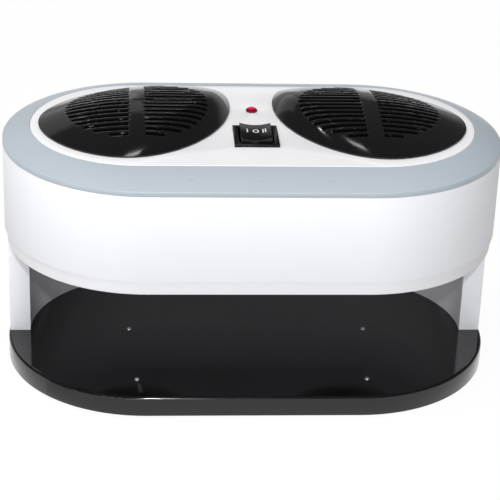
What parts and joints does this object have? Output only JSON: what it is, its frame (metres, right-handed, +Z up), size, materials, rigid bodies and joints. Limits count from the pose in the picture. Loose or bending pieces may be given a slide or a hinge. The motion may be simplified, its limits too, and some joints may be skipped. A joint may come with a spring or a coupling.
{
  "type": "fan nail dryer",
  "caption": "Free-standing twin-fan nail dryer: stadium-shaped base and raised housing joined by a C-shaped rear wall, with domed fan grilles and a rocker switch.",
  "frame": {"origin": "on the table under the middle of the dryer", "axes": "+X to the right along the length, the open front faces -Y, +Z up"},
  "size_m": [0.3, 0.172, 0.1661],
  "materials": {
    "white_housing": "satin moulded ABS",
    "white_strip": "satin moulded ABS",
    "white_panel": "satin moulded ABS",
    "silver_trim": "satin painted ABS",
    "gloss_black": "polished moulded ABS",
    "matte_black": "fine moulded texture",
    "black_rubber": "moulded rubber",
    "plated_steel": "bright zinc plate",
    "grey_lining": "matt moulded",
    "heat_plastic": "matt heat-resistant moulding",
    "mica": "laminated mica sheet",
    "heater_steel": "oxidised steel tube",
    "cutout_case": "moulded case",
    "fan_black": "moulded PBT",
    "magnet": "bonded ferrite",
    "core_steel": "stacked laminations",
    "copper": "enamelled copper wire and copper strip",
    "board_green": "solder mask",
    "switch_black": "satin moulded nylon",
    "nylon": "moulded nylon",
    "terminal_brass": "stamped brass",
    "red_lens": "polished red acrylic",
    "neon_glass": "clear glass",
    "board_parts_black": "moulded cases",
    "inlet_black": "moulded nylon",
    "wire_red": "silicone-insulated wire"
  },
  "bodies": {
    "housing": {"base_tray": "gloss_black", "base_cover": "matte_black", "rubber_feet": "black_rubber", "cover_screws": "plated_steel", "rear_wall": "white_housing", "wall_liner": "grey_lining", "wall_screws": "plated_steel", "lower_housing": "white_strip", "upper_housing": "white_housing", "trim_ring": "silver_trim", "trim_screws": "plated_steel", "top_panel": "white_panel", "housing_screws": "plated_steel", "dome_grille_left": "gloss_black", "dome_grille_right": "gloss_black", "outlet_grille_left": "matte_black", "outlet_grille_right": "matte_black", "air_duct_left": "heat_plastic", "air_duct_right": "heat_plastic", "heater_frame_left": "mica", "heater_frame_right": "mica", "heater_tube_left": "heater_steel", "heater_tube_right": "heater_steel", "thermal_cutouts": "cutout_case", "fan_frame_left": "matte_black", "fan_frame_right": "matte_black", "fan_bearings_left": "plated_steel", "fan_bearings_right": "plated_steel", "fan_stator_left": "core_steel", "fan_stator_right": "core_steel", "stator_coils_left": "copper", "stator_coils_right": "copper", "fan_circuit_left": "board_green", "fan_circuit_right": "board_green", "fan_screws": "plated_steel", "switch_body": "switch_black", "switch_terminals": "terminal_brass", "lamp_lens": "red_lens", "lamp_bulb": "neon_glass", "lamp_clip": "plated_steel", "circuit_board": "board_green", "board_parts": "board_parts_black", "board_screws": "plated_steel", "inlet_socket": "inlet_black", "inlet_pins": "plated_steel", "wiring_loom": "wire_red"},
    "fan_left": {"fan_rotor_left": "fan_black", "rotor_magnet_left": "magnet", "fan_shaft_left": "plated_steel"},
    "fan_right": {"fan_rotor_right": "fan_black", "rotor_magnet_right": "magnet", "fan_shaft_right": "plated_steel"},
    "rocker": {"switch_rocker": "switch_black", "switch_plungers": "nylon", "switch_springs": "plated_steel"},
    "contacts": {"switch_contacts": "copper"}
  },
  "joints": [
    {"name": "fan_left_spin", "type": "hinge", "parent": "housing", "child": "fan_left", "pos_m": [-0.07, 0.004, 0.12], "axis": [0, 0, 1], "continuous": true},
    {"name": "fan_right_spin", "type": "hinge", "parent": "housing", "child": "fan_right", "pos_m": [0.07, 0.004, 0.12], "axis": [0, 0, 1], "continuous": true},
    {"name": "rocker_tilt", "type": "hinge", "parent": "housing", "child": "rocker", "pos_m": [0, -0.0215, 0.1543], "axis": [0, 1, 0], "range_deg": [-12, 12]},
    {"name": "contact_tilt", "type": "hinge", "parent": "housing", "child": "contacts", "pos_m": [0, -0.0215, 0.1434], "axis": [0, 1, 0], "range_deg": [-12, 12]}
  ],
  "couplings": [
    {"joint": "contact_tilt", "follows": "rocker_tilt", "ratio": -1}
  ]
}
